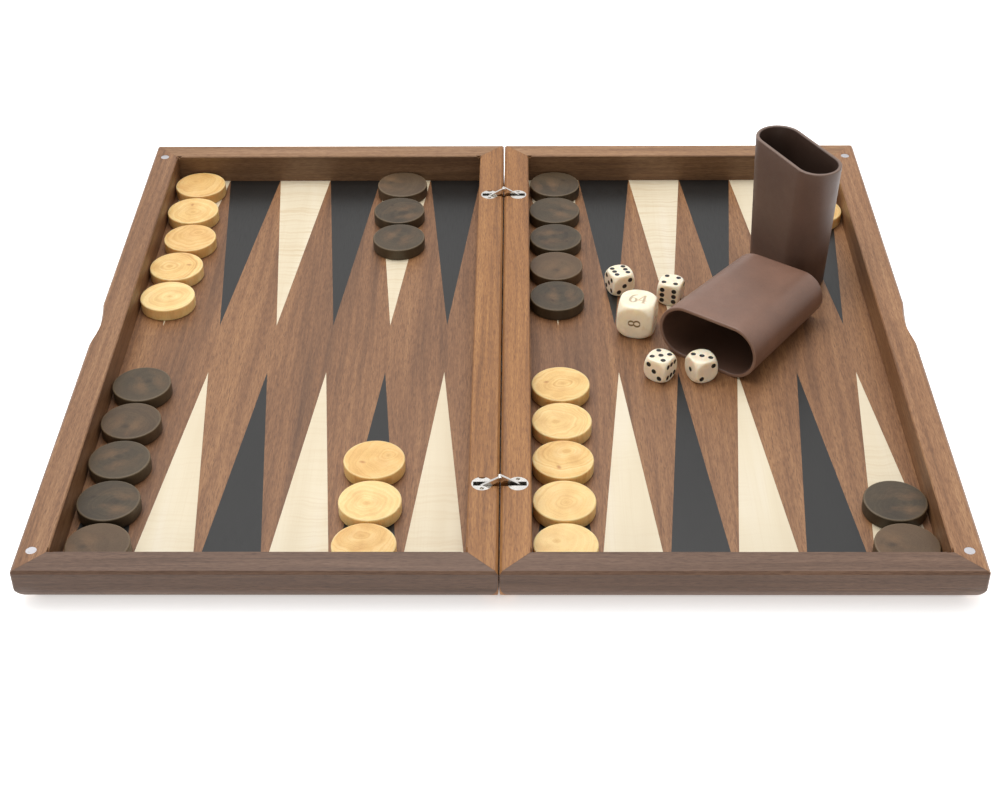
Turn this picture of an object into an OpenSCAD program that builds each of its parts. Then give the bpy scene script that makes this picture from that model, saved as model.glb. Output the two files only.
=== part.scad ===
// Folding backgammon set: two hinged wooden trays, checkers, dice, doubling cube and dice cups.
// Origin at the bottom centre of the open board, +X to the right, +Y to the rear, +Z up, millimetres.

/* [Board] */
// Half of the open board's width, from the fold line to the outer face
half_width = 261.5; // [255:0.5:275]
// Depth of the board, front to rear
board_depth = 480; // [470:1:520]
// Height of each tray
tray_height = 25; // [22:0.5:30]
// Width of the frame rails
rail_width = 17.5; // [17:0.5:19]
// Gap between the two trays at the fold line
seam_gap = 0.8; // [0.4:0.1:2]
// Radius of the large round-over under the three outer sides
bottom_round = 16; // [4:0.5:17]
// Radius of the round-over under the hinge rails
seam_round = 8; // [1:0.5:10]
// Chamfer along the outer top edges
top_chamfer = 1.5; // [0.5:0.1:2.5]
// Chamfer along the inner top edges
inner_chamfer = 0.7; // [0.3:0.1:1.5]
// Radius of the upright corners
corner_round = 2; // [1:0.5:5]

/* [Playing surface] */
// Thickness of the veneered base panel
panel_thickness = 4.4; // [3:0.1:6]
// Width of the rabbet that holds the panel
rabbet = 5; // [3:0.5:8]
// Thickness of the inlaid points
inlay_thickness = 0.6; // [0.4:0.1:1]
// Length of each point
point_length = 195.7; // [160:0.1:205]
// Strip of field veneer left between the bases of two points
point_gap = 0.3; // [0.2:0.1:2]

/* [Finger recess and magnets] */
// Length of the finger recess along the outer rail
recess_length = 50; // [30:1:70]
// Depth of the finger recess at the top edge
recess_depth = 3.5; // [2:0.1:5]
// Height over which the finger recess fades out
recess_height = 9; // [6:0.5:12]
// Magnet diameter
magnet_diameter = 6; // [4:0.5:8]
// Magnet thickness
magnet_thickness = 3; // [2:0.5:5]
// Distance of the magnets from the outer face
magnet_from_side = 8.1; // [6:0.1:10]
// Distance of the magnets from the front and rear faces
magnet_from_end = 17.9; // [15:0.1:30]

/* [Hinges] */
// Diameter of the hinge barrels
barrel_diameter = 12; // [10:0.5:14]
// Depth of the hinge barrels
barrel_depth = 14; // [12.5:0.5:16]
// Distance of the barrels from the fold line
barrel_offset = 10.2; // [9.5:0.1:11]
// Distance of the hinges from the board's centre line
hinge_y = 164.8; // [100:0.1:200]
// Depth of the link pins below the rail tops
pin_depth = 1.6; // [1.4:0.1:2]
// Diameter of the link pins
pin_diameter = 1.6; // [1.2:0.1:1.8]
// Running clearance between a link and its pin, on the radius
pin_clearance = 0.05; // [0.02:0.01:0.1]
// Height of the links' meeting point above the rail tops
link_rise = 4.3; // [4:0.1:7]
// Width of the links
link_width = 2.6; // [2.4:0.1:2.8]

/* [Checkers] */
// Checker diameter
checker_diameter = 36.4; // [30:0.1:36.6]
// Checker thickness
checker_thickness = 8.2; // [6:0.1:10]
// Rounding of a checker's edges
checker_edge = 0.9; // [0.3:0.1:2]
// Gap between the first checker on a point and the rail
checker_rail_gap = 1.8; // [0.5:0.1:4]
// Gap between neighbouring checkers on a point
checker_gap = 1.6; // [0.5:0.1:2]

/* [Dice] */
// Size of a die
die_size = 16; // [12:0.5:18]
// Size of the doubling cube
cube_size = 24; // [20:0.5:26]
// Radius of the sphere that rounds a die's corners, as a share of its size
corner_share = 0.7; // [0.66:0.01:0.8]

/* [Dice cups] */
// Height of a cup
cup_height = 92; // [80:1:100]
// Thickness of a cup's wall and base
cup_wall = 2.5; // [2:0.5:4]

/* [Hidden] */
$fn = 64;
hull_fn = 32;
slack = 1;           // how far a cutter runs past the face that it cuts
panel_top = panel_thickness;
inner_x = half_width - rail_width;
seam_x = seam_gap / 2;
seam_inner_x = seam_x + rail_width;
end_y = board_depth / 2;
inner_y = end_y - rail_width;
points_per_side = 6;
point_pitch = (inner_x - seam_inner_x) / points_per_side;
barrel_radius = barrel_diameter / 2;
slot_width = 3.6;
slot_reach = 5;      // from the barrel's centre, away from the fold line
slot_depth = barrel_depth - 1;
notch_width = slot_width + 0.8;
notch_depth = 3.5;
link_arm = norm([barrel_offset, link_rise + pin_depth]);
link_angle = atan2(link_rise + pin_depth, barrel_offset);
leaf = 0.75;         // thickness of one leaf of a link
leaf_gap = 0.05;     // between the two leaves of a link
link_start = 0.1;    // from the hinge's middle plane to a link's first leaf
pin_end = 2.9;       // from the hinge's middle plane to the far end of a pin

// A checker stack is [side, point counted from the outer rail, end, each checker's shift in X]
LIGHT_STACKS = [[-1, 0, 1, [0, 0, 3.6, 0, 0]], [-1, 4, -1, [-0.8, 0, 0]],
                [1, 5, -1, [0, 0, 0, 0, 0]], [1, 0, 1, [0, 0]]];
DARK_STACKS = [[-1, 0, -1, [2.1, 1, 0.3, 0.3, 0.3]], [-1, 4, 1, [-0.9, -1.2, 0.6]],
               [1, 5, 1, [0.6, -0.2, 0, -0.3, -0.3]], [1, 0, -1, [0, 0]]];

// A die is [x, y, turn, the roll that brings its thrown face to the top]: six, four, five and three
DICE = [[79.2, 69.5, 22, [180, 0, 0]], [113, 57.5, -19, [-90, 0, 0]],
        [100.2, -31, -35, [180, 90, 0]], [126, -31.5, 25, [90, 0, -90]]];
// The doubling cube is [x, y, turn]
CUBE_PLACE = [88.5, 22, -14];

// A cup is [x and y of its base, turn, rim width, rim thickness, base width, base thickness]
STANDING_CUP = [196.2, 98.3, -62.7, 75.4, 32, 63.6, 33];
LYING_CUP = [184.5, 53.6, 53.5, 71.3, 36.5, 66.5, 32];

first_checker_y = inner_y - checker_rail_gap - checker_diameter / 2;
checker_spacing = checker_diameter + checker_gap;
function places(stacks) = [for (s = stacks) for (i = [0:len(s[3]) - 1])
    [s[0] * (inner_x - (s[1] + 0.5) * point_pitch) + s[3][i],
     s[2] * (first_checker_y - i * checker_spacing)]];
function point_is_light(side, k, end) = (k % 2 == 0) == (side * end < 0);
function numbered(name, count) = [for (i = [1:count]) str(name, i)];

LIGHT_PLACES = places(LIGHT_STACKS);
DARK_PLACES = places(DARK_STACKS);
LIGHT_NAMES = numbered("light_checker_", len(LIGHT_PLACES));
DARK_NAMES = numbered("dark_checker_", len(DARK_PLACES));
DIE_NAMES = numbered("die_", len(DICE));

// ---- Shared shapes ----

// Everything on a tray is drawn for the right one, and mirrored over the fold line for the left one
module on_side(side) { if (side > 0) children(); else mirror([1, 0, 0]) children(); }

// What a round-over of radius r removes from a square corner at the origin, for stock in +X +Y
module round_waste(r) {
    difference() {
        translate([-slack, -slack]) square(r + slack);
        translate([r, r]) circle(r);
    }
}

module chamfer_waste(c) { polygon([[-slack, -slack], [c + slack, -slack], [-slack, c + slack]]); }

// Section across the fold line: X is across, Y is up
module section_across() {
    difference() {
        translate([seam_x, 0]) square([half_width - seam_x, tray_height]);
        translate([half_width, 0]) mirror([1, 0]) round_waste(bottom_round);
        translate([seam_x, 0]) round_waste(seam_round);
        translate([half_width, tray_height]) rotate(180) chamfer_waste(top_chamfer);
        translate([seam_x, tray_height]) mirror([0, 1]) chamfer_waste(top_chamfer);
    }
}

// Section along the fold line: X is front to rear, Y is up
module section_along() {
    difference() {
        translate([-end_y, 0]) square([board_depth, tray_height]);
        for (end = [-1, 1]) mirror([end > 0 ? 1 : 0, 0]) {
            translate([-end_y, 0]) round_waste(bottom_round);
            translate([-end_y, tray_height]) mirror([0, 1]) chamfer_waste(top_chamfer);
        }
    }
}

module plan_outline() {
    difference() {
        translate([seam_x, -end_y]) square([half_width - seam_x, board_depth]);
        for (end = [-1, 1]) mirror([0, end > 0 ? 1 : 0])
            translate([half_width, -end_y]) mirror([1, 0]) round_waste(corner_round);
    }
}

// The right tray's outer form, with no hollow
module tray_form() {
    intersection() {
        translate([0, end_y + slack, 0]) rotate([90, 0, 0])
            linear_extrude(board_depth + 2 * slack) section_across();
        translate([-slack, 0, 0]) rotate([90, 0, 90])
            linear_extrude(half_width + 2 * slack) section_along();
        translate([0, 0, -slack]) linear_extrude(tray_height + 2 * slack) plan_outline();
    }
}

// Bevels round the top edge of the hollow between the rails
module hollow_bevel() {
    reach = inner_chamfer + slack;
    width = inner_x - seam_inner_x + 2 * slack;
    depth = 2 * (inner_y + slack);
    for (end = [-1, 1])
        translate([seam_inner_x - slack, end * inner_y, tray_height - inner_chamfer])
            rotate([end * 45, 0, 0]) translate([0, -reach, 0]) cube([width, 2 * reach, 2 * reach]);
    for (x = [seam_inner_x, inner_x])
        translate([x, -depth / 2, tray_height - inner_chamfer])
            rotate([0, x == inner_x ? -45 : 45, 0])
                translate([-reach, 0, 0]) cube([2 * reach, depth, 2 * reach]);
}

module panel_form() {
    edge = rail_width - rabbet;
    translate([seam_x + edge, -end_y + edge, 0])
        cube([half_width - seam_x - 2 * edge, board_depth - 2 * edge, panel_thickness]);
}

// One mitred rail of the right tray; plan is its mitred outline
module rail(plan) {
    difference() {
        intersection() {
            tray_form();
            translate([0, 0, -slack]) linear_extrude(tray_height + 2 * slack) polygon(plan);
        }
        panel_form();
        hollow_bevel();
    }
}

// The rails' mitred outlines, run past the tray's outer faces
reach_out = 6;
OUT_X = half_width + reach_out;
OUT_Y = end_y + reach_out;
END_RAIL = [[seam_x - reach_out, -OUT_Y], [OUT_X, -OUT_Y],
            [inner_x, -inner_y], [seam_inner_x, -inner_y]];
OUTER_RAIL = [[OUT_X, -OUT_Y], [OUT_X, OUT_Y], [inner_x, inner_y], [inner_x, -inner_y]];
HINGE_RAIL = [[seam_x - reach_out, -OUT_Y], [seam_inner_x, -inner_y],
              [seam_inner_x, inner_y], [seam_x - reach_out, OUT_Y]];

module at_magnets() {
    for (end = [-1, 1])
        translate([half_width - magnet_from_side, end * (end_y - magnet_from_end), 0]) children();
}

module at_barrels() {
    for (end = [-1, 1]) translate([barrel_offset, end * hinge_y, tray_height]) children();
}

// A large ball that scoops the finger recess: an arc in plan that fades out below the top edge
module finger_cutter() {
    top_r = (pow(recess_length / 2, 2) + pow(recess_depth, 2)) / (2 * recess_depth);
    fall = 2 * top_r * recess_depth - pow(recess_depth, 2) - pow(recess_height, 2);
    rise = fall / (2 * recess_height);
    translate([half_width - recess_depth + top_r, 0, tray_height + rise])
        sphere(r = norm([top_r, rise]), $fn = 128);
}

// ---- Trays ----

module front_rail(side) {
    color("#7d695c") on_side(side) rail(END_RAIL);
}

module rear_rail(side) {
    color("#8f7360") on_side(side) mirror([0, 1, 0]) rail(END_RAIL);
}

module outer_rail(side) {
    color("#a58366") on_side(side) difference() {
        rail(OUTER_RAIL);
        finger_cutter();
        at_magnets() translate([0, 0, tray_height - magnet_thickness - 0.1])
            cylinder(d = magnet_diameter, h = magnet_thickness + slack);
    }
}

module hinge_rail(side) {
    color("#a58366") on_side(side) difference() {
        rail(HINGE_RAIL);
        at_barrels() {
            translate([0, 0, -barrel_depth]) cylinder(r = barrel_radius, h = barrel_depth + slack);
            translate([-barrel_offset, -notch_width / 2, -notch_depth])
                cube([barrel_offset - barrel_radius + slack, notch_width, notch_depth + slack]);
        }
    }
}

// All points of one colour on one tray, from z = 0 up
module points(side, light, height) {
    half_base = (point_pitch - point_gap) / 2;
    for (k = [0:points_per_side - 1], end = [-1, 1])
        if (point_is_light(side, k, end) == light)
            translate([inner_x - (k + 0.5) * point_pitch, end * inner_y, 0])
                linear_extrude(height) mirror([0, end > 0 ? 1 : 0])
                    polygon([[-half_base, 0], [half_base, 0], [0, point_length]]);
}

module base_panel(side) {
    color("#96765c") on_side(side) difference() {
        intersection() {
            panel_form();
            tray_form();
        }
        translate([0, 0, panel_top - inlay_thickness]) {
            points(side, true, inlay_thickness + slack);
            points(side, false, inlay_thickness + slack);
        }
    }
}

module inlaid_points(side, light) {
    color(light ? "#f5e8cd" : "#2b2b2b") on_side(side)
        translate([0, 0, panel_top - inlay_thickness]) points(side, light, inlay_thickness);
}

module magnets(side) {
    color("#e6e6e6") on_side(side) at_magnets()
        translate([0, 0, tray_height - magnet_thickness - 0.1])
            cylinder(d = magnet_diameter, h = magnet_thickness);
}

// ---- Hinges ----

// The right links run in the rear half of each slot and the left ones in the front half,
// so that each link passes beside the other barrel's pin when the board is closed
module in_slot_half(side) { if (side > 0) children(); else mirror([0, 1, 0]) children(); }

module pin(length, start) {
    translate([0, start, -pin_depth]) rotate([-90, 0, 0]) cylinder(d = pin_diameter, h = length);
}

module hinge_barrels(side) {
    hole_diameter = 2.4;
    hole_y = 4.2;
    key_radius = 2.4;
    key_depth = 1.5;
    color("#d9d6d0") on_side(side) at_barrels() difference() {
        translate([0, 0, -barrel_depth]) cylinder(r = barrel_radius, h = barrel_depth);
        translate([-barrel_radius - slack, -slot_width / 2, -slot_depth])
            cube([barrel_radius + slack + slot_reach, slot_width, slot_depth + slack]);
        in_slot_half(side) {
            pin(pin_end, 0);
            translate([0, hole_y, -hole_diameter]) cylinder(d = hole_diameter, h = hole_diameter + slack);
        }
        if (side < 0)
            translate([0, barrel_radius + key_radius / 3, -key_depth])
                cylinder(r = key_radius, h = key_depth + slack);
    }
}

module hinge_pins(side) {
    color("#b9b6b0") on_side(side) at_barrels() in_slot_half(side) pin(pin_end - link_start, link_start);
}

// One leaf of a link, from its pin up to the hinge's peak over the fold line
module link_leaf(y) {
    translate([0, y + leaf, -pin_depth]) rotate([90, 0, 0]) linear_extrude(leaf)
        rotate(180 - link_angle) difference() {
            union() {
                circle(d = link_width);
                translate([0, -link_width / 2]) square([link_arm, link_width]);
                translate([link_arm, 0]) circle(d = link_width);
            }
            circle(r = pin_diameter / 2 + pin_clearance);
        }
}

module hinge_links(side) {
    color("#e0ddd6") on_side(side) at_barrels() in_slot_half(side)
        for (i = [0, 1]) link_leaf(link_start + i * (leaf + leaf_gap));
}

// ---- Playing pieces ----

module checker(place, tint) {
    r = checker_diameter / 2;
    e = checker_edge;
    color(tint) translate([place[0], place[1], panel_top]) rotate_extrude() {
        square([r - e, checker_thickness]);
        translate([0, e]) square([r, checker_thickness - 2 * e]);
        translate([r - e, e]) circle(e);
        translate([r - e, checker_thickness - e]) circle(e);
    }
}

// A cube with its corners taken off by a sphere, centred on the origin
module rounded_cube(size) {
    intersection() {
        cube(size, center = true);
        sphere(r = size * corner_share);
    }
}

// The pips of face n, in steps from the face's centre
function pips(n) = concat(
    n % 2 == 1 ? [[0, 0]] : [],
    n > 1 ? [[1, 1], [-1, -1]] : [],
    n > 3 ? [[-1, 1], [1, -1]] : [],
    n == 6 ? [[-1, 0], [1, 0]] : []);

// The turns that take the top face to the places of faces one to six; opposite faces add up to seven
FACE_TURNS = [[0, 0, 0], [0, 90, 0], [-90, 0, 0], [90, 0, 0], [0, -90, 0], [180, 0, 0]];

module die(d) {
    pip_radius = 1.45;
    pip_sink = 0.5;
    pip_step = die_size / 4;
    ball = (pow(pip_radius, 2) + pow(pip_sink, 2)) / (2 * pip_sink);
    color("#f5ebd2") translate([d[0], d[1], panel_top + die_size / 2]) rotate([0, 0, d[2]]) rotate(d[3])
        difference() {
            rounded_cube(die_size);
            for (n = [1:6], p = pips(n)) rotate(FACE_TURNS[n - 1])
                translate([p[0] * pip_step, p[1] * pip_step, die_size / 2 + ball - pip_sink])
                    sphere(r = ball);
        }
}

module doubling_cube() {
    color("#f0e4c8") translate([CUBE_PLACE[0], CUBE_PLACE[1], panel_top + cube_size / 2])
        rotate([0, 0, CUBE_PLACE[2]]) rounded_cube(cube_size);
}

// A thin flat oval: a rectangle with round ends, width along X
module oval_slice(width, thickness) {
    linear_extrude(0.01) for (s = [-1, 1])
        translate([s * (width - thickness) / 2, 0]) circle(d = thickness, $fn = hull_fn);
}

// A tapered oval from a base slice at z0 to a rim slice at z1
module tapered_oval(rim_w, rim_t, base_w, base_t, z0, z1) {
    hull() {
        translate([0, 0, z0]) oval_slice(base_w, base_t);
        translate([0, 0, z1 - 0.01]) oval_slice(rim_w, rim_t);
    }
}

// A cup on its base at the origin, its width along X
module cup(c) {
    over = 2;
    grow_w = (c[3] - c[5]) * over / cup_height;
    grow_t = (c[4] - c[6]) * over / cup_height;
    difference() {
        tapered_oval(c[3], c[4], c[5], c[6], 0, cup_height);
        tapered_oval(c[3] - 2 * cup_wall + grow_w, c[4] - 2 * cup_wall + grow_t,
                     c[5] - 2 * cup_wall, c[6] - 2 * cup_wall, cup_wall, cup_height + over);
    }
}

module standing_dice_cup() {
    c = STANDING_CUP;
    color("#6b5850") translate([c[0], c[1], panel_top]) rotate([0, 0, c[2]]) cup(c);
}

// The lying cup rests flat on its tapered side, its mouth towards the front left
module lying_dice_cup() {
    c = LYING_CUP;
    tilt = atan2((c[4] - c[6]) / 2, cup_height);
    lift = c[6] / 2 / cos(tilt) + 0.02;
    color("#967c72") translate([c[0], c[1], panel_top + lift])
        rotate([0, 0, c[2] - 90]) rotate([90 - tilt, 0, 0]) cup(c);
}

// ---- Nodes ----

front_rail(1);  // right_front_rail
rear_rail(1);  // right_rear_rail
outer_rail(1);  // right_outer_rail
hinge_rail(1);  // right_hinge_rail
front_rail(-1);  // left_front_rail
rear_rail(-1);  // left_rear_rail
outer_rail(-1);  // left_outer_rail
hinge_rail(-1);  // left_hinge_rail
base_panel(1);  // right_base_panel
base_panel(-1);  // left_base_panel
inlaid_points(1, true);  // right_light_points
inlaid_points(1, false);  // right_dark_points
inlaid_points(-1, true);  // left_light_points
inlaid_points(-1, false);  // left_dark_points
magnets(1);  // right_magnets
magnets(-1);  // left_magnets
hinge_barrels(1);  // right_hinge_barrels
hinge_barrels(-1);  // left_hinge_barrels
hinge_pins(1);  // right_hinge_pins
hinge_pins(-1);  // left_hinge_pins
hinge_links(1);  // right_hinge_links
hinge_links(-1);  // left_hinge_links
for (i = [0:len(LIGHT_NAMES) - 1])
    checker(LIGHT_PLACES[i], "#f0c882");
for (i = [0:len(DARK_NAMES) - 1])
    checker(DARK_PLACES[i], "#41352e");
for (i = [0:len(DIE_NAMES) - 1])
    die(DICE[i]);
doubling_cube();
standing_dice_cup();
lying_dice_cup();
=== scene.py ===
# The look of the folding backgammon set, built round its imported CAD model, in metres.
import math

import bmesh
import bpy
import numpy as np
from mathutils import Matrix, Vector


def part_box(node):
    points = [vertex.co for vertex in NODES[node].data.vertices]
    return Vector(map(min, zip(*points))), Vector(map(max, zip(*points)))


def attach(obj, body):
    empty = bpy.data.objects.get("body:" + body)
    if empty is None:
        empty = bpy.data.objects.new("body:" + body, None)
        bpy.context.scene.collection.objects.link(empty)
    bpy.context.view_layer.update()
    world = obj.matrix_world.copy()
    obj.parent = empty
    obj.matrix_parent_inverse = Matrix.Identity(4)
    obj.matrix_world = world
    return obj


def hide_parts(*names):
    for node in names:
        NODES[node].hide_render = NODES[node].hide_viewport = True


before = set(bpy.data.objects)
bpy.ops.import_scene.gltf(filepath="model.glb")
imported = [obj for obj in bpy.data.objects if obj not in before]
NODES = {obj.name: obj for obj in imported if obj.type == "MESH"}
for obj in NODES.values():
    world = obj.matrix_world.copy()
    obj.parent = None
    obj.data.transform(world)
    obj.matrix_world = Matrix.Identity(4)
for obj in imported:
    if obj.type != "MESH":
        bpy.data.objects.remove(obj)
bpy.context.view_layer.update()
MM = 0.001


# ---- Colours and material nodes ----

def tone(code):
    """A display colour such as "#a58366" as the linear values that shaders use."""
    values = [int(code[i:i + 2], 16) / 255 for i in (1, 3, 5)]
    return tuple(v / 12.92 if v <= 0.04045 else ((v + 0.055) / 1.055) ** 2.4 for v in values) + (1.0,)


def scaled(colour, factor):
    """A linear colour made lighter or darker."""
    return tuple(min(1.0, c * factor) for c in colour[:3]) + (1.0,)


class Shader:
    """A material and short ways to add nodes to it."""

    def __init__(self, name, settings=None):
        self.material = bpy.data.materials.new(name)
        self.material.use_nodes = True
        self.tree = self.material.node_tree
        self.surface = self.tree.nodes["Principled BSDF"]
        for key, value in (settings or {}).items():
            self.surface.inputs[key].default_value = value

    def feed(self, socket, value):
        if isinstance(value, bpy.types.NodeSocket):
            self.tree.links.new(value, socket)
        else:
            socket.default_value = value

    def node(self, kind, inputs=None, **settings):
        node = self.tree.nodes.new("ShaderNode" + kind)
        for key, value in settings.items():
            setattr(node, key, value)
        for key, value in (inputs or {}).items():
            self.feed(node.inputs[key], value)
        return node

    def place(self, shift=(0, 0, 0), stretch=(1, 1, 1), turn=0.0):
        """The object's own coordinates, moved, turned about Z and then stretched."""
        coordinates = self.node("TexCoord").outputs["Object"]
        moved = self.node("VectorMath", {0: coordinates, 1: shift}, operation="SUBTRACT").outputs[0]
        turned = self.node("VectorRotate", {"Vector": moved, "Angle": turn}, rotation_type="Z_AXIS").outputs[0]
        return self.node("VectorMath", {0: turned, 1: stretch}, operation="MULTIPLY").outputs[0]

    def length(self, vector):
        return self.node("VectorMath", {0: vector}, operation="LENGTH").outputs["Value"]

    def along(self, vector, amount, direction):
        """A vector moved by an amount in a direction."""
        push = self.node("VectorMath", {0: direction, "Scale": amount}, operation="SCALE").outputs[0]
        return self.node("VectorMath", {0: vector, 1: push}, operation="ADD").outputs[0]

    def noise(self, vector, detail=3.0, roughness=0.55):
        inputs = {"Vector": vector, "Scale": 1.0, "Detail": detail, "Roughness": roughness}
        return self.node("TexNoise", inputs).outputs["Fac"]

    def line_noise(self, value, stretch, seed, detail):
        """Noise that varies with one value only."""
        point = self.node("CombineXYZ", {0: self.math("MULTIPLY", value, stretch), 1: seed}).outputs[0]
        return self.noise(point, detail)

    def math(self, operation, a, b=0.0):
        return self.node("Math", {0: a, 1: b}, operation=operation).outputs[0]

    def span(self, value, low, high, start=0.0, end=1.0):
        """value mapped from low..high to start..end, and held there."""
        inputs = {"Value": value, "From Min": low, "From Max": high, "To Min": start, "To Max": end}
        return self.node("MapRange", inputs, clamp=True).outputs[0]

    def ramp(self, value, *stops):
        node = self.node("ValToRGB", {0: value})
        points = node.color_ramp.elements
        while len(points) < len(stops):
            points.new(0.5)
        for point, (position, colour) in zip(points, stops):
            point.position = position
            point.color = colour
        return node.outputs[0]

    def mix(self, factor, a, b, blend="MIX"):
        node = self.node("Mix", data_type="RGBA", blend_type=blend, clamp_factor=True)
        self.feed(node.inputs[0], factor)
        self.feed(node.inputs[6], a)
        self.feed(node.inputs[7], b)
        return node.outputs[2]

    def tint(self, colour, by):
        return self.mix(1.0, colour, by, "MULTIPLY")

    def finish(self, colour, roughness=None, height=None, strength=0.2, distance=0.1 * MM):
        """Connects what was made; strength and distance are the bump's."""
        self.feed(self.surface.inputs["Base Color"], colour)
        if roughness is not None:
            self.feed(self.surface.inputs["Roughness"], roughness)
        if height is not None:
            bump = self.node("Bump", {"Height": height, "Strength": strength, "Distance": distance})
            self.feed(self.surface.inputs["Normal"], bump.outputs[0])
        return self.material


ALONG_X = 0.0
ALONG_Y = math.radians(-90)


def walnut(name, turn, shades, seed, figure, contrast, bands, upright=1.0, pores=0.55, roughness=0.5):
    """Oiled walnut, its grain along X unless it is turned.

    shades are its dark, middle and pale colours, bands is how much of its figure is broad bands, and upright how
    much darker its upright faces are painted than its tops, as painted shade."""
    dark, middle, pale = shades
    s = Shader(name)
    shift = (0.37 * seed, 0.53 * seed, 0.11 * seed)
    drift = s.noise(s.place(shift, (3, 12, 12), turn), detail=2)
    sway = s.math("MULTIPLY", drift, 5.0 * figure)
    streaks = s.noise(s.along(s.place(shift, (4, 120, 120), turn), sway, (0, 1, 0.6)), detail=5, roughness=0.62)
    narrow = s.noise(s.along(s.place(shift, (9, 420, 420), turn), sway, (0, 2, 1)), detail=3, roughness=0.6)
    broad = s.noise(s.place(shift, (1.6, 26, 26), turn), detail=2)
    value = s.math("ADD", s.math("MULTIPLY", streaks, 0.45), s.math("MULTIPLY", broad, bands))
    value = s.math("ADD", value, s.math("MULTIPLY", narrow, 0.55 - bands))
    half = 0.13 / contrast
    colour = s.ramp(s.span(value, 0.5 - half, 0.5 + half), (0.0, dark), (0.5, middle), (1.0, pale))
    fibres = s.noise(s.place(shift, (170, 1550, 1550), turn), detail=3, roughness=0.7)
    colour = s.mix(s.span(fibres, 0.38, 0.66, 0.0, 0.6), colour, s.tint(colour, tone("#b39b80")))
    dashes = s.noise(s.place(shift, (170, 1900, 1900), turn), detail=2)
    dash = s.span(dashes, 0.55, 0.69, 0.0, pores)
    colour = s.mix(dash, colour, s.tint(dark, tone("#d0b8a4")))
    # Painted shade: faces that stand upright are darkened by the upright factor
    facing = s.node("SeparateXYZ", {0: s.node("TexCoord").outputs["Normal"]}).outputs["Z"]
    sides = s.span(s.math("ABSOLUTE", facing), 0.4, 0.85, 1.0, 0.0)
    colour = s.mix(sides, colour, s.tint(colour, (upright, 0.97 * upright, 0.93 * upright, 1.0)))
    rough = s.span(streaks, 0.3, 0.7, roughness + 0.07, roughness - 0.05)
    height = s.math("SUBTRACT", s.math("MULTIPLY", fibres, 0.6), dash)
    return s.finish(colour, rough, height, strength=0.35, distance=0.06 * MM)


def maple(name):
    """Pale figured maple with fine wavy ripples across the grain, painted stronger in the points of the far side as
    a painted shimmer.
    """
    s = Shader(name)
    wobble = s.noise(s.place(stretch=(50, 22, 1)), detail=3)
    rippled = s.along(s.place(stretch=(16, 430, 1)), s.math("MULTIPLY", wobble, 4.0), (0, 1, 0))
    ripples = s.noise(rippled, detail=2, roughness=0.45)
    # Painted light: the ripples grow stronger towards the far side, for the figure's shimmer in the light there
    depth = s.node("SeparateXYZ", {0: s.place()}).outputs["Y"]
    patchy = s.noise(s.place((0.2, 0.1, 0), (14, 9, 1)), detail=1)
    where = s.math("MULTIPLY", s.span(patchy, 0.36, 0.62, 0.1, 1.0), s.span(depth, -60 * MM, 60 * MM, 0.24, 0.5))
    lines = s.noise(s.place(stretch=(1000, 10, 1)), detail=3, roughness=0.65)
    broad = s.noise(s.place(stretch=(45, 5, 1)), detail=2)
    colour = s.ramp(broad, (0.3, tone("#d6c7aa")), (0.55, tone("#ddd0b5")), (0.75, tone("#e1d6c1")))
    colour = s.mix(s.math("MULTIPLY", s.span(ripples, 0.46, 0.7), where), colour, tone("#c3a77c"))
    colour = s.mix(s.span(lines, 0.52, 0.72, 0.0, 0.14), colour, tone("#c2a980"))
    rough = s.span(ripples, 0.3, 0.7, 0.5, 0.38)
    return s.finish(colour, rough, lines, strength=0.12, distance=0.04 * MM)


def black_veneer(name):
    """Dyed black veneer under satin lacquer, with open grain that barely shows."""
    s = Shader(name)
    pores = s.noise(s.place(stretch=(1700, 75, 1)), detail=2, roughness=0.6)
    cloud = s.noise(s.place(stretch=(30, 9, 1)), detail=3)
    colour = s.ramp(cloud, (0.3, tone("#151413")), (0.7, tone("#1b1a18")))
    colour = s.mix(s.span(pores, 0.6, 0.75, 0.0, 0.5), colour, tone("#0e0d0c"))
    rough = s.span(pores, 0.35, 0.7, 0.3, 0.42)
    return s.finish(colour, rough, pores, strength=0.18, distance=0.04 * MM)


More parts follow.
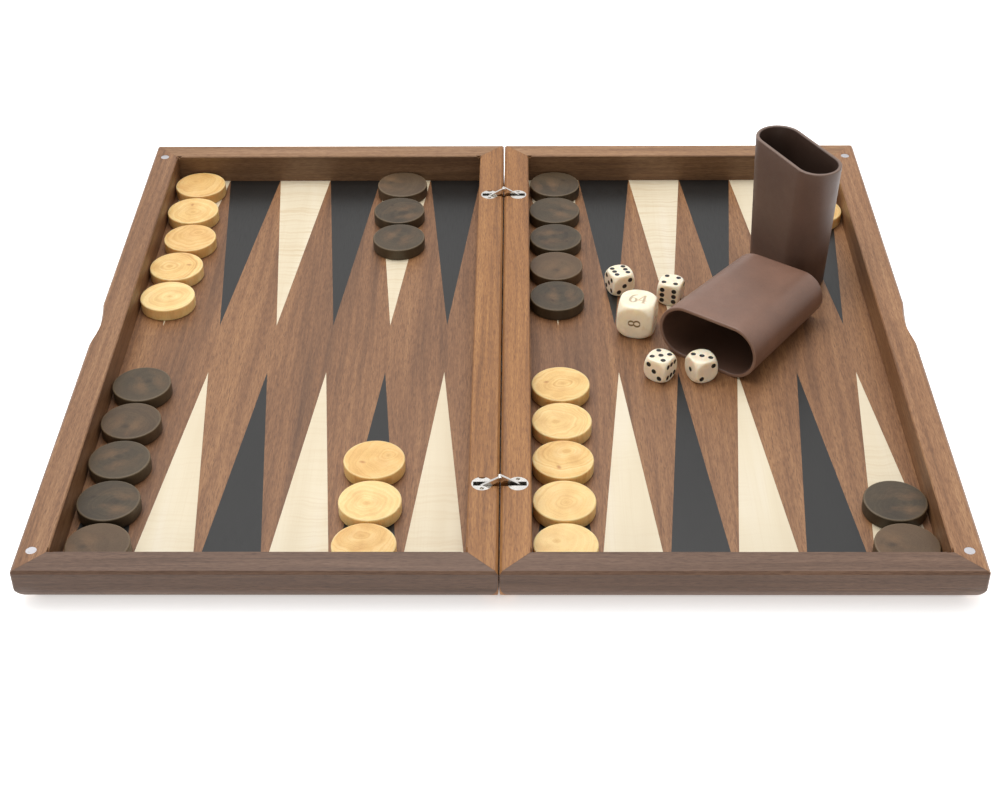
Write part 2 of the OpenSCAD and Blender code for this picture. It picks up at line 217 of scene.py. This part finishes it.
def turned_wood(name, centre, seed, palette, ring_contrast, stained, roughness, gloss, glow):
    """End grain of a turned disc: soft growth rings round a pith, cloudy stains, a knot and lathe marks.

    palette is its dark, middle, light, stain and rim colours, stained how strong the stains are, gloss its specular
    level, and glow how much light soaks in."""
    dark, middle, light, stain, rim = palette
    chance = [(seed * k) % 1.0 for k in (0.618, 0.377, 0.829, 0.546)]
    s = Shader(name, {"Specular IOR Level": gloss, "Subsurface Weight": glow,
                      "Subsurface Radius": (1.0, 0.75, 0.45), "Subsurface Scale": 4 * MM})
    # Growth rings and clouds
    angle = 2.4 * seed
    offset = (1.0 + 8.0 * chance[0]) * MM
    pith = (centre.x + offset * math.cos(angle), centre.y + offset * math.sin(angle), centre.z)
    swell = s.noise(s.place(pith, (70, 70, 20)), detail=2, roughness=0.5)
    from_pith = s.length(s.place(pith, (1, 0.75 + 0.5 * chance[1], 0), angle))
    wander = s.math("MULTIPLY", s.math("SUBTRACT", swell, 0.5), (5 + 7 * chance[2]) * MM)
    from_pith = s.math("ADD", from_pith, wander)
    rings = s.line_noise(from_pith, 560.0, seed, detail=3)
    slow = s.line_noise(from_pith, 150.0, seed + 9, detail=1)
    cloud = s.noise(s.place(pith, (55, 90, 60), angle), detail=4, roughness=0.6)
    ring_share = 0.36 * ring_contrast
    value = s.math("ADD", s.math("MULTIPLY", rings, ring_share), s.math("MULTIPLY", slow, 0.3))
    value = s.math("ADD", value, s.math("MULTIPLY", cloud, 0.7 - ring_share))
    colour = s.ramp(s.span(value, 0.37, 0.63), (0.0, dark), (0.5, middle), (1.0, light))
    colour = s.mix(0.5 * chance[3], colour, stain if chance[0] > 0.6 else scaled(light, 1.08))
    # Stains near the middle, and the pith itself
    patches = s.noise(s.place(pith, (60, 105, 60), angle + 0.7), detail=3, roughness=0.55)
    inner = s.length(s.place(pith, (1, 1, 0)))
    patch = s.math("MULTIPLY", s.span(patches, 0.44, 0.72, 0.0, stained),
                   s.span(inner, 6 * MM, 15 * MM, 1.0, 0.15))
    colour = s.mix(patch, colour, stain)
    colour = s.mix(s.span(from_pith, 0.2 * MM, 2.2 * MM, 0.5, 0.0), colour, dark)
    if chance[3] < 0.4:
        spot = (centre.x - 9 * MM * math.cos(angle + chance[3]), centre.y - 8 * MM * math.sin(angle), 0)
        knot = s.length(s.place(spot, (1, 1.6, 0), angle))
        knot = s.math("ADD", knot, s.math("MULTIPLY", s.math("SUBTRACT", swell, 0.5), 2.5 * MM))
        colour = s.mix(s.span(knot, 0.5 * MM, 2.4 * MM, 0.6, 0.0), colour, s.tint(dark, tone("#d29a5c")))
    fibres = s.noise(s.place(pith, (1500, 1500, 160)), detail=3, roughness=0.7)
    colour = s.mix(s.span(fibres, 0.52, 0.75, 0.0, 0.28), colour, scaled(dark, 0.65))
    # A painted highlight ring just inside the rounded edge, broken by the fibres, and the lathe's marks
    from_axis = s.length(s.place(centre, (1, 1, 0)))
    pale_rim_band = s.math("MULTIPLY", s.span(from_axis, 16.9 * MM, 17.8 * MM), s.span(fibres, 0.2, 0.5))
    edge = s.span(from_axis, 18.0 * MM, 18.15 * MM, 0.5, 0.0)
    colour = s.mix(s.math("MULTIPLY", pale_rim_band, edge), colour, rim)
    lathe = s.line_noise(from_axis, 2600.0, seed, detail=2)
    rough = s.span(fibres, 0.3, 0.7, roughness - 0.05, roughness + 0.1)
    height = s.math("ADD", s.math("MULTIPLY", fibres, 0.6), s.math("MULTIPLY", lathe, 0.5))
    return s.finish(colour, rough, height, strength=0.25, distance=0.05 * MM)


def polished(name, colour, roughness, brushed=0.0):
    """Plated metal with faint rubbing marks."""
    s = Shader(name, {"Metallic": 1.0})
    marks = s.noise(s.place(stretch=(400, 2600, 900)), detail=3, roughness=0.7)
    smudges = s.noise(s.place(stretch=(260, 260, 260)), detail=3)
    rough = s.math("ADD", s.span(smudges, 0.35, 0.65, roughness - 0.05, roughness + 0.08),
                   s.math("MULTIPLY", marks, brushed))
    shade = s.mix(s.span(smudges, 0.45, 0.75), colour, scaled(colour, 0.86))
    return s.finish(shade, rough, marks, strength=0.05 + 0.2 * brushed, distance=0.02 * MM)


def leather(name, colour, edge):
    """Smooth bonded leather with fine pores, a little scuffing, a paler rim and painted shade darkening the cup's
    inside.
    """
    s = Shader(name, {"Coat Weight": 0.3, "Coat Roughness": 0.4})
    coordinates = s.node("TexCoord").outputs["Object"]

    def speckle(scale, **settings):
        return s.node("TexNoise", {"Vector": coordinates, "Scale": scale, **settings}).outputs["Fac"]

    grain = s.node("TexVoronoi", {"Vector": coordinates, "Scale": 1500.0}).outputs["Distance"]
    pores = speckle(900.0, Detail=4.0)
    cloud = speckle(38.0, Detail=4.0)
    scuff = speckle(140.0, Detail=5.0, Roughness=0.7)
    shade = s.ramp(cloud, (0.35, scaled(colour, 0.9)), (0.65, scaled(colour, 1.1)))
    shade = s.mix(s.math("MULTIPLY", s.span(scuff, 0.58, 0.75), 0.35), shade, scaled(colour, 1.45))
    shade = s.mix(s.math("MULTIPLY", s.span(pores, 0.5, 0.7), 0.25), shade, scaled(colour, 0.6))
    pale_rim_band = s.node("Attribute", attribute_name="rim").outputs["Fac"]
    shade = s.mix(s.math("MULTIPLY", pale_rim_band, s.span(scuff, 0.3, 0.6, 0.35, 0.9)), shade, edge)
    # Painted shade: the inside of the cup is darkened
    inside_shade = s.node("Attribute", attribute_name="inside_shade").outputs["Fac"]
    shade = s.mix(s.math("MULTIPLY", inside_shade, 0.68), shade, scaled(colour, 0.4))
    rough = s.span(scuff, 0.35, 0.7, 0.46, 0.6)
    height = s.math("ADD", s.math("MULTIPLY", grain, 0.7), s.math("MULTIPLY", pores, 0.5))
    return s.finish(shade, rough, height, strength=0.3, distance=0.08 * MM)


def ivory(name, ink, pale, depth, edge):
    """Cream resin with soft streaks.

    ink colours its marks, where the mesh says they are; depth is how far light soaks in, and edge the range over
    which a mark fades in."""
    s = Shader(name, {"Subsurface Weight": 0.75, "Subsurface Radius": (1.0, 0.8, 0.6), "Subsurface Scale": depth,
                      "IOR": 1.5})
    cloud = s.noise(s.place(stretch=(130, 60, 90), turn=0.6), detail=4, roughness=0.6)
    veins = s.noise(s.place(stretch=(420, 90, 200), turn=0.9), detail=3, roughness=0.6)
    colour = s.ramp(cloud, (0.3, scaled(pale, 0.88)), (0.55, pale), (0.8, scaled(pale, 1.06)))
    vein = s.math("MULTIPLY", s.span(veins, 0.55, 0.75), 0.3)
    colour = s.mix(vein, colour, s.tint(pale, tone("#e6d2ab")))
    marks = s.node("Attribute", attribute_name="ink").outputs["Fac"]
    colour = s.mix(s.span(marks, *edge), colour, ink)
    rough = s.span(marks, 0.3, 0.7, 0.24, 0.5)
    return s.finish(colour, rough, veins, strength=0.03, distance=0.05 * MM)


# ---- Wood, inlay and metal of the board ----

# Each rail's dark, middle and pale colours, its grain's direction and how much darker its upright faces are
# painted, as painted shade
# The front rails' colours are darker and greyer than the other rails': painted shade for the dimmer light and
# reflection on them
RAIL_TONES = {"front_rail": ("#4d3625", "#674c3a", "#795c48", ALONG_X, 0.68),
              "rear_rail": ("#6f4d35", "#936e4a", "#aa8463", ALONG_X, 0.55),
              "outer_rail": ("#68462b", "#8e6542", "#a67d56", ALONG_Y, 0.74),
              "hinge_rail": ("#724823", "#9c6a37", "#b27f47", ALONG_Y, 0.8)}
# How much lighter than those colours a rail is painted: on the right half partly painted light, for the lamp that
# sits to the left, and partly to even out the grain's tone
RAIL_LIGHT_AND_TONE = {"right_front_rail": 1.12, "right_rear_rail": 1.16,
                  "right_outer_rail": 1.16, "right_hinge_rail": 1.04}
FIELD_TONES = ("#64442b", "#89603e", "#a57950")


def paint(node, material):
    """Gives a CAD node one material."""
    slots = NODES[node].data.materials
    slots.clear()
    slots.append(material)


def ease_edges(node, width):
    """Breaks a CAD node's sharp edges with a narrow bevel, which is only a modifier."""
    piece = NODES[node]
    weld = piece.modifiers.new("weld", "WELD")
    weld.merge_threshold = 0.002 * MM
    bevel = piece.modifiers.new("bevel", "BEVEL")
    bevel.width = width
    bevel.segments = 2
    bevel.limit_method = "ANGLE"
    bevel.angle_limit = math.radians(35)
    bevel.harden_normals = True


def dress_board():
    light = maple("maple_points")
    black = black_veneer("black_points")
    magnet = polished("magnet_plating", tone("#cfcccf"), 0.3)
    nickel = polished("hinge_nickel", tone("#e9e5df"), 0.2)
    steel = polished("pin_steel", tone("#b5b1ab"), 0.35, brushed=0.1)
    for number, side in enumerate(("left", "right")):
        for k, (rail, (*codes, turn, upright)) in enumerate(RAIL_TONES.items()):
            name = f"{side}_{rail}"
            shades = [scaled(tone(c), RAIL_LIGHT_AND_TONE.get(name, 1.0)) for c in codes]
            paint(name, walnut(name + "_walnut", turn, shades, seed=1.7 + 5 * number + k, figure=0.4,
                               contrast=0.75, bands=0.12, upright=upright))
            ease_edges(name, 0.22 * MM)
        field = walnut(side + "_field_walnut", ALONG_Y, [tone(c) for c in FIELD_TONES], seed=3.1 + 2 * number,
                       figure=0.6, contrast=0.95, bands=0.38, pores=0.62, roughness=0.46)
        paint(side + "_base_panel", field)
        paint(side + "_light_points", light)
        paint(side + "_dark_points", black)
        for part, metal, edge in (("magnets", magnet, 0.25), ("hinge_barrels", nickel, 0.18),
                                  ("hinge_pins", steel, 0.1), ("hinge_links", nickel, 0.08)):
            paint(f"{side}_{part}", metal)
            ease_edges(f"{side}_{part}", edge * MM)


# ---- Checkers ----

# Dark, middle, light, stain and rim colours; the rim colour is a painted highlight along the top's edge
BOXWOOD = tuple(tone(c) for c in ("#c8934d", "#e4bc77", "#f1d69a", "#d3a262", "#eedaa7"))
EBONISED = tuple(tone(c) for c in ("#2f251a", "#3d3324", "#4e412f", "#75583c", "#7f6e55"))
CHECKERS_PER_COLOUR = 15
CHECKER_LOOKS = {
    "light": {"palette": BOXWOOD, "ring_contrast": 1.2, "stained": 0.5, "roughness": 0.42, "gloss": 0.5,
              "glow": 0.4},
    "dark": {"palette": EBONISED, "ring_contrast": 0.9, "stained": 0.75, "roughness": 0.44, "gloss": 0.38,
             "glow": 0.0}}
# What sets the dark checkers' grain apart from that of the light ones of the same number
SEED_STEP = {"light": 0.0, "dark": 0.45}


def dress_checkers():
    for colour, look in CHECKER_LOOKS.items():
        for number in range(1, CHECKERS_PER_COLOUR + 1):
            name = f"{colour}_checker_{number}"
            low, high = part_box(name)
            paint(name, turned_wood(name + "_wood", (low + high) / 2, number + SEED_STEP[colour], **look))


# ---- Shared by the pieces that replace a CAD node ----

def add_piece(name, mesh, material, place, node):
    """Puts a finished mesh in the scene instead of a CAD node, riding on the body that has the node's name."""
    mesh.shade_smooth()
    mesh.materials.append(material)
    piece = bpy.data.objects.new(name, mesh)
    bpy.context.scene.collection.objects.link(piece)
    piece.matrix_world = place
    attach(piece, node)
    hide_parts(node)


# ---- Dice and doubling cube ----

DIE_SIZE = 16 * MM
CUBE_SIZE = 24 * MM
CORNER_SHARE = 0.7    # the radius of the ball that rounds the corners, as a share of the size
PIP_SHARE = 0.104     # a pip's radius, as a share of the die
PIP_SINK = 0.5 * MM
NUMERAL_SINK = 0.25 * MM
NUMERAL_PITCH = 0.62  # from one digit to the next, in digit heights
# Each face's number, its outward direction and the direction across it
FACES = {1: ((0, 0, 1), (1, 0, 0)), 2: ((1, 0, 0), (0, 0, -1)), 3: ((0, 1, 0), (1, 0, 0)),
         4: ((0, -1, 0), (1, 0, 0)), 5: ((-1, 0, 0), (0, 0, 1)), 6: ((0, 0, -1), (1, 0, 0))}


def pips(n):
    """Where a face's pips are, in steps from its centre."""
    places = [(0, 0)] if n % 2 else []
    places += [(1, 1), (-1, -1)] if n > 1 else []
    places += [(-1, 1), (1, -1)] if n > 3 else []
    places += [(-1, 0), (1, 0)] if n == 6 else []
    return places


def pip_field(number):
    """A function of a face's u and v: how deep the pips are sunk there, and how inky they are."""
    step, radius = DIE_SIZE / 4, PIP_SHARE * DIE_SIZE
    centres = [(a * step, b * step) for a, b in pips(number)]

    def at(u, v):
        near = np.min([np.hypot(u - a, v - b) for a, b in centres], axis=0)
        depth = PIP_SINK * np.clip(1 - (near / radius) ** 2, 0, 1)
        return depth, np.clip(0.5 + (radius - near) / (0.35 * MM), 0, 1)
    return at


def arc_distance(u, v, centre, radii, start, sweep):
    """Distance to an elliptical arc, and how far it runs upright there, for drawing strokes."""
    x, y = (u - centre[0]) / radii[0], (v - centre[1]) / radii[1]
    angle = np.degrees(np.arctan2(y, x))
    past = np.mod(angle - start, 360.0)
    held = np.where(past <= sweep, past, np.where(past - sweep < 360.0 - past, sweep, 0.0))
    held = np.radians(held + start)
    px, py = centre[0] + radii[0] * np.cos(held), centre[1] + radii[1] * np.sin(held)
    return np.hypot(u - px, v - py), np.abs(np.cos(held))


def line_distance(u, v, a, b):
    """Distance to a straight stroke from a to b."""
    ax, ay = a
    dx, dy = b[0] - ax, b[1] - ay
    t = np.clip(((u - ax) * dx + (v - ay) * dy) / (dx * dx + dy * dy), 0, 1)
    return np.hypot(u - ax - t * dx, v - ay - t * dy)


THIN, THICK = 0.035, 0.085


def ring(u, v, centre, radii, start=0.0, sweep=360.0):
    """How far inside an arc stroke, thick at its sides and thin at its top and bottom, a point lies."""
    distance, across = arc_distance(u, v, centre, radii, start, sweep)
    return THIN + (THICK - THIN) * across - distance


def bar(u, v, a, b, half=THIN):
    """How far inside a straight stroke from a to b a point lies."""
    return half - line_distance(u, v, a, b)


# Each digit's strokes, in a box one unit high about its centre
NUMERALS = {
    "1": [(bar, (0, -0.42), (0, 0.46), THICK), (bar, (-0.14, -0.46), (0.14, -0.46)),
          (bar, (-0.15, 0.34), (0, 0.46))],
    "2": [(ring, (0, 0.22), (0.22, 0.24), -40, 210), (bar, (0.16, 0.06), (-0.24, -0.42)),
          (bar, (-0.24, -0.44), (0.26, -0.44), 0.06)],
    "3": [(ring, (-0.02, 0.24), (0.2, 0.22), -90, 240), (ring, (-0.02, -0.22), (0.24, 0.24), -150, 240)],
    "4": [(bar, (0.12, -0.42), (0.12, 0.42), THICK), (bar, (-0.26, -0.16), (0.28, -0.16)),
          (bar, (-0.26, -0.16), (0.08, 0.46)), (bar, (0.0, -0.46), (0.24, -0.46))],
    "6": [(ring, (0, -0.2), (0.22, 0.26)), (ring, (0.2, -0.16), (0.42, 0.64), 92, 96)],
    "8": [(ring, (0, 0.24), (0.19, 0.22)), (ring, (0, -0.22), (0.24, 0.25))]}


def numeral_field(text, height, turn, strength):
    """A function of a face's u and v: how deep a number is engraved there, and how inky it is."""
    cos, sin = math.cos(turn), math.sin(turn)

    def at(u, v):
        a, b = (u * cos + v * sin) / height, (v * cos - u * sin) / height
        inside = np.full(u.shape, -1.0)
        for k, digit in enumerate(text):
            along = a - NUMERAL_PITCH * (k - (len(text) - 1) / 2)
            strokes = [stroke(along, b, *shape) for stroke, *shape in NUMERALS[digit]]
            inside = np.maximum(inside, np.max(strokes, axis=0))
        ink = np.clip(0.5 + inside * height / (0.3 * MM), 0, 1)
        return NUMERAL_SINK * ink, strength * ink
    return at


def rounded_surface(directions, size, blend):
    """How far from the centre a cube, cut by a ball and softened where they meet, lies in each direction."""
    near, far = np.full(len(directions), 0.2 * size), np.full(len(directions), size)
    for _ in range(40):
        middle = (near + far) / 2
        p = directions * middle[:, None]
        cube = np.abs(p) - size / 2
        flats = blend * np.log(np.sum(np.exp(cube / blend), axis=1))
        ball = np.linalg.norm(p, axis=1) - size * CORNER_SHARE
        inside = blend * np.log(np.exp(flats / blend) + np.exp(ball / blend)) < 0
        near, far = np.where(inside, middle, near), np.where(inside, far, middle)
    return near


def rounded_block(name, node, turn, size, blend, steps, field_of, material):
    """A die or doubling cube with softly rounded edges and marks sunk into its faces. turn is its matrix."""
    low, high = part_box(node)
    grid = np.linspace(-1, 1, steps + 1)
    a, b = (g.ravel() * 0.999999 for g in np.meshgrid(grid, grid, indexing="ij"))
    vertices, faces, inks = [], [], []
    for number, (normal, across) in FACES.items():
        n, u = np.array(normal, float), np.array(across, float)
        w = np.cross(n, u)
        directions = n + a[:, None] * u + b[:, None] * w
        directions /= np.linalg.norm(directions, axis=1)[:, None]
        p = directions * rounded_surface(directions, size, blend)[:, None]
        depth, ink = field_of(number)(p @ u, p @ w)
        base = sum(len(block) for block in vertices)
        vertices.append(p - n * depth[:, None])
        inks.append(ink)
        for i in range(steps):
            for j in range(steps):
                k = base + i * (steps + 1) + j
                faces.append((k, k + steps + 1, k + steps + 2, k + 1))
    mesh = bpy.data.meshes.new(name)
    mesh.from_pydata([tuple(v) for v in np.concatenate(vertices)], [], faces)
    attribute = mesh.attributes.new("ink", "FLOAT", "POINT")
    attribute.data.foreach_set("value", np.concatenate(inks).astype(np.float32))
    work = bmesh.new()
    work.from_mesh(mesh)
    bmesh.ops.remove_doubles(work, verts=work.verts, dist=0.004 * MM)
    work.to_mesh(mesh)
    work.free()
    add_piece(name, mesh, material, Matrix.Translation((low + high) / 2) @ turn, node)


def turned(yaw, roll):
    """A die's matrix: its roll, as turns about X and then Y and then Z in degrees, and then its yaw."""
    x, y, z = (math.radians(r) for r in roll)
    return (Matrix.Rotation(math.radians(yaw) + z, 4, "Z") @ Matrix.Rotation(y, 4, "Y")
            @ Matrix.Rotation(x, 4, "X"))


DICE_TURNS = ((22, (180, 0, 0)), (-19, (-90, 0, 0)), (-35, (180, 90, 0)), (25, (90, 0, -90)))
CUBE_YAW = -14
# The doubling cube's number on each face, its height as a share of the cube, its turn in degrees and how dark its
# ink
# is: painted light, paler on the top face where the light falls and darkest on the front face in shade
CUBE_NUMBERS = {1: ("64", 0.39, 0, 0.62), 4: ("8", 0.34, 90, 1.0), 2: ("16", 0.38, 0, 0.9),
                3: ("4", 0.38, 180, 0.9), 5: ("32", 0.38, 0, 0.9), 6: ("2", 0.38, 0, 0.9)}


def cube_field(number):
    """The numeral field of one face of the doubling cube."""
    text, height, turn, strength = CUBE_NUMBERS[number]
    return numeral_field(text, height * CUBE_SIZE, math.radians(turn), strength)


def make_dice():
    resin = ivory("die_ivory", tone("#15130f"), tone("#f4e6ce"), 5 * MM, (0.35, 0.65))
    for number, (yaw, roll) in enumerate(DICE_TURNS, 1):
        node = f"die_{number}"
        rounded_block(node + "_moulded", node, turned(yaw, roll), DIE_SIZE, 0.35 * MM, 56, pip_field, resin)


def make_doubling_cube():
    resin = ivory("cube_ivory", tone("#8f7446"), tone("#f9ebd2"), 7 * MM, (0.0, 1.0))
    rounded_block("doubling_cube_moulded", "doubling_cube", turned(CUBE_YAW, (0, 0, 0)), CUBE_SIZE, 0.5 * MM,
                  130, cube_field, resin)


# ---- Dice cups ----

CUP_HEIGHT = 92 * MM
CUP_WALL = 2.5 * MM
CUP_POINTS = 112  # round each loop of the cup's mesh


def oval(width, thickness):
    """Points round a flat oval with round ends, evenly spaced."""
    r = thickness / 2
    straight = width - thickness
    total = 2 * straight + 2 * math.pi * r
    points = []
    for k in range(CUP_POINTS):
        d = total * k / CUP_POINTS
        if d < straight:
            points.append((d - straight / 2, -r))
            continue
        d -= straight
        if d < math.pi * r:
            points.append((straight / 2 + r * math.sin(d / r), -r * math.cos(d / r)))
            continue
        d -= math.pi * r
        if d < straight:
            points.append((straight / 2 - d, r))
            continue
        d -= straight
        points.append((-straight / 2 - r * math.sin(d / r), r * math.cos(d / r)))
    return points


def cup_profile():
    """The cup's wall as (inset from the outside, height, how rim-like, how much painted shade), from base to
    inside.
    """
    height, wall = CUP_HEIGHT, CUP_WALL
    foot, edge = 1.6 * MM, 0.8 * MM  # the radii of the foot and of the rim's two edges
    quarter = [math.radians(15 * k) for k in range(7)]
    rows = [(foot * (1 - math.sin(a)), foot * (1 - math.cos(a)), 0.0, 0.0) for a in quarter]
    rows += [(0.0, foot + (height - edge - foot) * k / 12, 0.0, 0.0) for k in range(1, 12)]
    rows += [(edge * (1 - math.cos(a)), height - edge + edge * math.sin(a), math.sin(a), 0.0) for a in quarter]
    rows += [(wall - edge * (1 - math.sin(a)), height - edge * (1 - math.cos(a)), math.cos(a), math.sin(a))
             for a in quarter]
    rows += [(wall, height - edge - (height - edge - 2 * wall) * k / 12, 0.0, 1.0) for k in range(1, 12)]
    rows += [(2 * wall - wall * math.cos(a), 2 * wall - wall * math.sin(a), 0.0, 1.0) for a in quarter]
    return rows


def make_cup(name, node, place, rim, base, material):
    """A tapered oval cup, open at the top. rim and base are (width, thickness)."""
    work = bmesh.new()
    rim_layer = work.verts.layers.float.new("rim")
    # Marks the inside of the cup for its painted shade
    inside_shade_layer = work.verts.layers.float.new("inside_shade")
    loops = []
    for inset, z, rim_share, inside_shade in cup_profile():
        t = z / CUP_HEIGHT
        width, thickness = (b + (r - b) * t - 2 * inset for r, b in zip(rim, base))
        loop = []
        for x, y in oval(width, thickness):
            v = work.verts.new((x, y, z))
            v[rim_layer] = rim_share
            v[inside_shade_layer] = inside_shade
            loop.append(v)
        loops.append(loop)
    for one, two in zip(loops, loops[1:]):
        for k in range(CUP_POINTS):
            after = (k + 1) % CUP_POINTS
            work.faces.new((one[k], one[after], two[after], two[k]))
    work.faces.new(list(reversed(loops[0])))
    work.faces.new(loops[-1])
    mesh = bpy.data.meshes.new(name)
    work.to_mesh(mesh)
    work.free()
    add_piece(name, mesh, material, place, node)


def make_cups():
    brown = leather("standing_leather", tone("#594135"), tone("#765e50"))
    # The lying cup is the standing cup's leather painted lighter and warmer: painted light on its side that faces
    # up to the lamp
    lying_lit_leather = leather("lying_leather", tone("#755443"), tone("#836758"))
    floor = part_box("standing_dice_cup")[0].z
    standing = (Matrix.Translation((196.2 * MM, 98.3 * MM, floor))
                @ Matrix.Rotation(math.radians(-62.7), 4, "Z"))
    make_cup("standing_cup_leather", "standing_dice_cup", standing,
             (75.4 * MM, 32 * MM), (63.6 * MM, 33 * MM), brown)
    # The lying cup rests on its side, so it leans by its taper
    tilt = math.atan2(2.25 * MM, CUP_HEIGHT)
    lying = (Matrix.Translation((184.5 * MM, 53.6 * MM, floor + 16.025 * MM))
             @ Matrix.Rotation(math.radians(53.5 - 90), 4, "Z")
             @ Matrix.Rotation(math.radians(90) - tilt, 4, "X"))
    make_cup("lying_cup_leather", "lying_dice_cup", lying,
             (71.3 * MM, 36.5 * MM), (66.5 * MM, 32 * MM), lying_lit_leather)


# ---- Room, light and camera ----

FLOOR_REACH = 40.0                          # metres each way, so that the floor's end is never seen
BOARD_FOOT = (259.5 * MM, 238 * MM, 0)      # half the open board's size, where it nears the floor
# How strongly the sky shines in a direction, from the cosine of its angle to SKY_MIDDLE
SKY_MIDDLE = (-0.12, 0.75, 0.65)
SKY_RANGE = {"From Min": -0.25, "From Max": 0.6, "To Min": 0.16, "To Max": 0.95}


def make_floor():
    mesh = bpy.data.meshes.new("floor")
    r = FLOOR_REACH
    mesh.from_pydata([(-r, -r, 0), (r, -r, 0), (r, r, 0), (-r, r, 0)], [], [(0, 1, 2, 3)])
    sheet = bpy.data.objects.new("floor", mesh)
    bpy.context.scene.collection.objects.link(sheet)
    # Lit from below like a light table, except where the open board lies on it
    paper = Shader("floor_paper", {"Roughness": 0.9, "Emission Color": tone("#ffffff")})
    place = paper.node("VectorMath", {0: paper.place()}, operation="ABSOLUTE").outputs[0]
    beyond = paper.node("VectorMath", {0: place, 1: BOARD_FOOT}, operation="SUBTRACT").outputs[0]
    beyond = paper.node("SeparateXYZ", {0: beyond})
    outside = paper.math("MAXIMUM", beyond.outputs["X"], beyond.outputs["Y"])
    paper.feed(paper.surface.inputs["Emission Strength"], paper.span(outside, -14 * MM, -6 * MM, 0.0, 0.5))
    mottle = paper.noise(paper.place(stretch=(2, 2, 2)), detail=2)
    mesh.materials.append(paper.finish(paper.ramp(mottle, (0.3, tone("#f6f6f6")), (0.7, tone("#fafafa")))))


def make_sky():
    """A white room, bright above and behind the set and dim on the side that it is looked at from."""
    world = bpy.data.worlds.new("room")
    bpy.context.scene.world = world
    world.use_nodes = True
    nodes, links = world.node_tree.nodes, world.node_tree.links
    facing = nodes.new("ShaderNodeVectorMath")
    facing.operation = "DOT_PRODUCT"
    links.new(nodes.new("ShaderNodeTexCoord").outputs["Generated"], facing.inputs[0])
    facing.inputs[1].default_value = SKY_MIDDLE
    strength = nodes.new("ShaderNodeMapRange")
    strength.interpolation_type = "SMOOTHSTEP"
    links.new(facing.outputs["Value"], strength.inputs["Value"])
    for key, value in SKY_RANGE.items():
        strength.inputs[key].default_value = value
    background = nodes["Background"]
    background.inputs["Color"].default_value = (1.0, 1.0, 1.0, 1.0)
    links.new(strength.outputs[0], background.inputs["Strength"])
    bpy.context.scene.view_settings.view_transform = "Standard"


def soft_light(name, place, size, power, colour=(1.0, 1.0, 1.0)):
    """A rectangular light that faces the middle of the board."""
    light = bpy.data.lights.new(name, "AREA")
    light.shape = "RECTANGLE"
    light.size, light.size_y = size
    light.energy = power
    light.color = colour
    lamp = bpy.data.objects.new(name, light)
    bpy.context.scene.collection.objects.link(lamp)
    lamp.location = place
    lamp.rotation_euler = (-Vector(place)).to_track_quat("-Z", "Y").to_euler()


def make_lights():
    soft_light("top_softbox", (-0.15, 0.35, 1.5), (1.3, 1.0), 16.0)
    soft_light("front_fill", (-0.3, -2.0, 0.6), (2.4, 0.8), 13.0, (1.0, 0.93, 0.83))


def make_camera():
    """The photograph's camera, as solved from the board's corners."""
    data = bpy.data.cameras.new("camera")
    data.sensor_width = 36.0
    data.lens = 62.7
    data.clip_start = 0.01
    camera = bpy.data.objects.new("camera", data)
    bpy.context.scene.collection.objects.link(camera)
    yaw, pitch, roll = 0.0134, -0.63316, 0.00849
    look = Matrix.Rotation(yaw, 4, "Z") @ Matrix.Rotation(pitch, 4, "X") @ Matrix.Rotation(roll, 4, "Y")
    camera.matrix_world = (Matrix.Translation((0.01074, -0.9319, 0.64679)) @ look
                           @ Matrix.Rotation(math.radians(90), 4, "X"))
    bpy.context.scene.camera = camera


make_camera()
make_floor()
make_sky()
make_lights()
dress_board()
dress_checkers()
make_dice()
make_doubling_cube()
make_cups()
